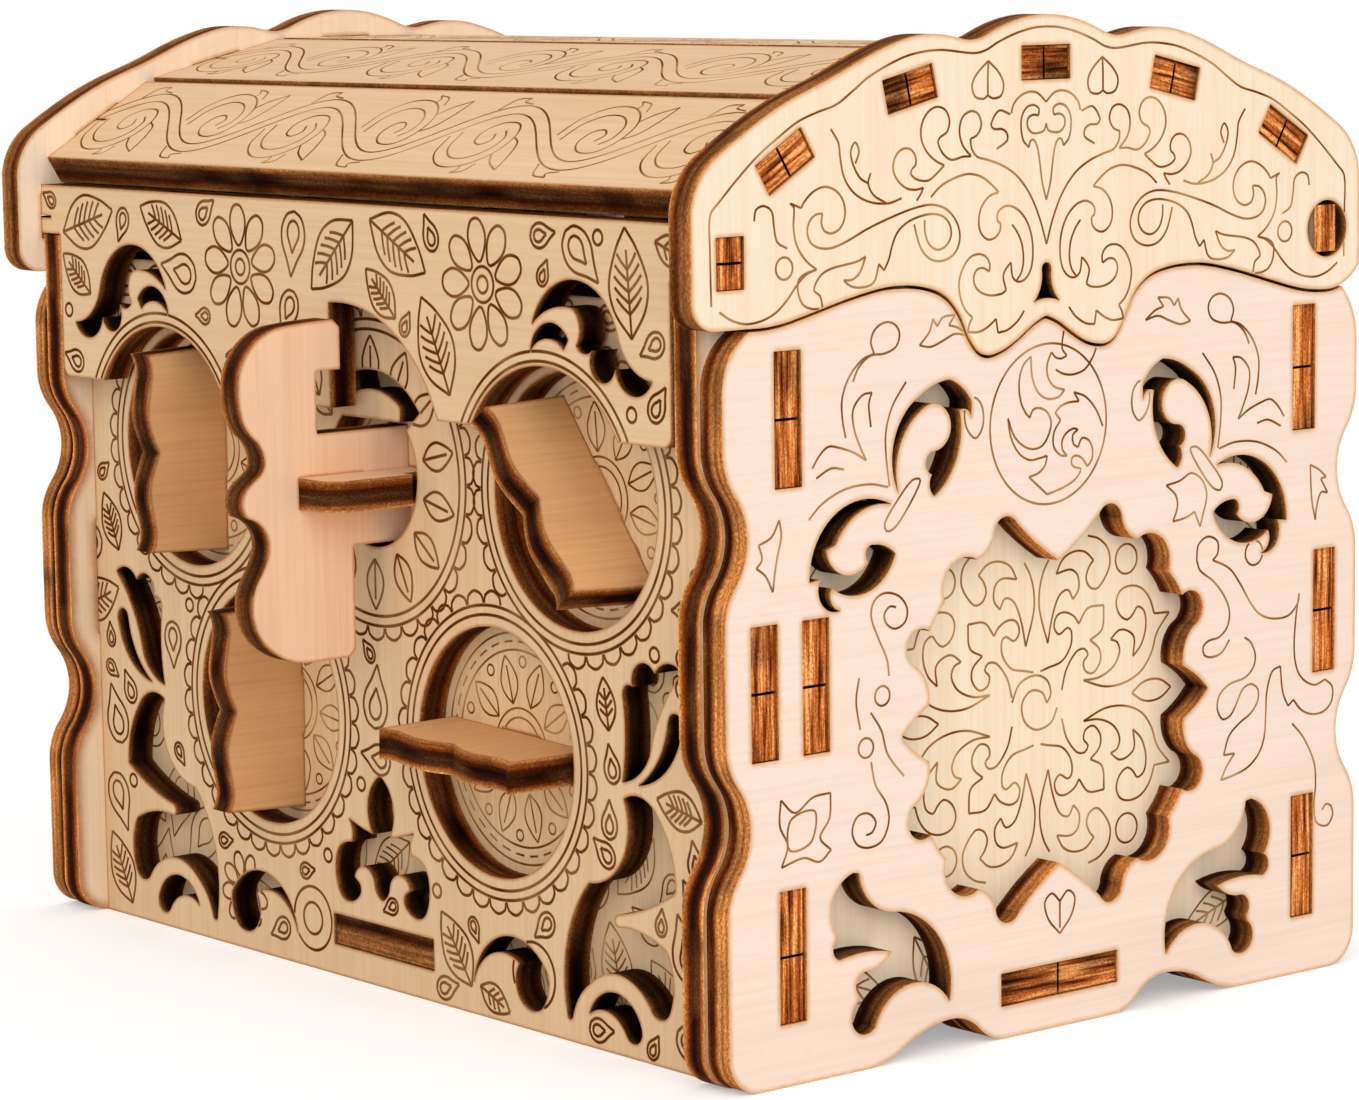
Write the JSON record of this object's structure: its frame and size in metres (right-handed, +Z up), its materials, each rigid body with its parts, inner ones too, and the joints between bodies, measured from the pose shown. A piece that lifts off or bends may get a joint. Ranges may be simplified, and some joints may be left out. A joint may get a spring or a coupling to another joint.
{
  "type": "wooden puzzle box",
  "caption": "Laser-cut plywood treasure chest with a slatted arched lid, turning lock dials with handles and a key that throws a latch.",
  "frame": {"origin": "under the middle of the whole object, key included, on the surface that it stands on", "axes": "+X along the front to the viewer's right, +Y from the front to the hinged back, +Z up"},
  "size_m": [0.1504, 0.1264, 0.126],
  "materials": {
    "panel_ply": "sanded birch plywood with scorched edges",
    "dial_ply": "sanded birch plywood, engraved",
    "handle_ply": "smoked birch plywood",
    "key_ply": "sanded birch plywood, engraved",
    "inner_ply": "raw birch plywood"
  },
  "bodies": {
    "box": {"floor_panel": "panel_ply", "front_panel": "panel_ply", "dial_carrier_panel": "inner_ply", "front_lining_panel": "inner_ply", "inner_back_panel": "panel_ply", "outer_back_panel": "panel_ply", "left_inner_side_panel": "panel_ply", "right_inner_side_panel": "panel_ply", "left_outer_side_panel": "panel_ply", "right_outer_side_panel": "panel_ply"},
    "lid": {"lid_left_cheek": "panel_ply", "lid_right_cheek": "panel_ply", "lid_front_skirt": "panel_ply", "lid_slat_1": "panel_ply", "lid_slat_2": "panel_ply", "lid_slat_3": "panel_ply", "lid_slat_4": "panel_ply", "lid_slat_5": "panel_ply", "lid_left_gate_hook": "inner_ply", "lid_right_gate_hook": "inner_ply", "lid_latch_hook": "inner_ply"},
    "dial_upper_left": {"upper_left_dial": "dial_ply", "upper_left_handle": "handle_ply", "upper_left_wheel": "inner_ply", "upper_left_gate_ring": "inner_ply"},
    "dial_upper_right": {"upper_right_dial": "dial_ply", "upper_right_handle": "handle_ply", "upper_right_wheel": "inner_ply", "upper_right_gate_ring": "inner_ply"},
    "dial_lower_left": {"lower_left_dial": "dial_ply", "lower_left_handle": "handle_ply", "lower_left_wheel": "inner_ply"},
    "dial_lower_right": {"lower_right_dial": "dial_ply", "lower_right_handle": "handle_ply", "lower_right_wheel": "inner_ply"},
    "key_hub": {"key_hub_disc": "inner_ply", "key_hub_spacer": "inner_ply", "key_hub_washer": "inner_ply", "latch_cam": "inner_ply"},
    "key": {"key_bow_plate": "key_ply", "key_cross_plate": "key_ply"}
  },
  "joints": [
    {"name": "lid_hinge", "type": "hinge", "parent": "box", "child": "lid", "pos_m": [0, 0.05665, 0.0975], "axis": [-1, 0, 0], "range_deg": [0, 100]},
    {"name": "upper_left_dial_turn", "type": "hinge", "parent": "box", "child": "dial_upper_left", "pos_m": [-0.042, -0.03535, 0.0678], "axis": [0, 1, 0], "continuous": true},
    {"name": "upper_right_dial_turn", "type": "hinge", "parent": "box", "child": "dial_upper_right", "pos_m": [0.042, -0.03535, 0.0678], "axis": [0, 1, 0], "continuous": true},
    {"name": "lower_left_dial_turn", "type": "hinge", "parent": "box", "child": "dial_lower_left", "pos_m": [-0.025, -0.03535, 0.03451], "axis": [0, 1, 0], "continuous": true},
    {"name": "lower_right_dial_turn", "type": "hinge", "parent": "box", "child": "dial_lower_right", "pos_m": [0.025, -0.03535, 0.03451], "axis": [0, 1, 0], "continuous": true},
    {"name": "key_turn", "type": "hinge", "parent": "box", "child": "key_hub", "pos_m": [0, -0.03535, 0.0665], "axis": [0, 1, 0], "range_deg": [0, 90]},
    {"name": "key_pull", "type": "slide", "parent": "key_hub", "child": "key", "axis": [0, -1, 0], "range_m": [0, 0.01]}
  ]
}
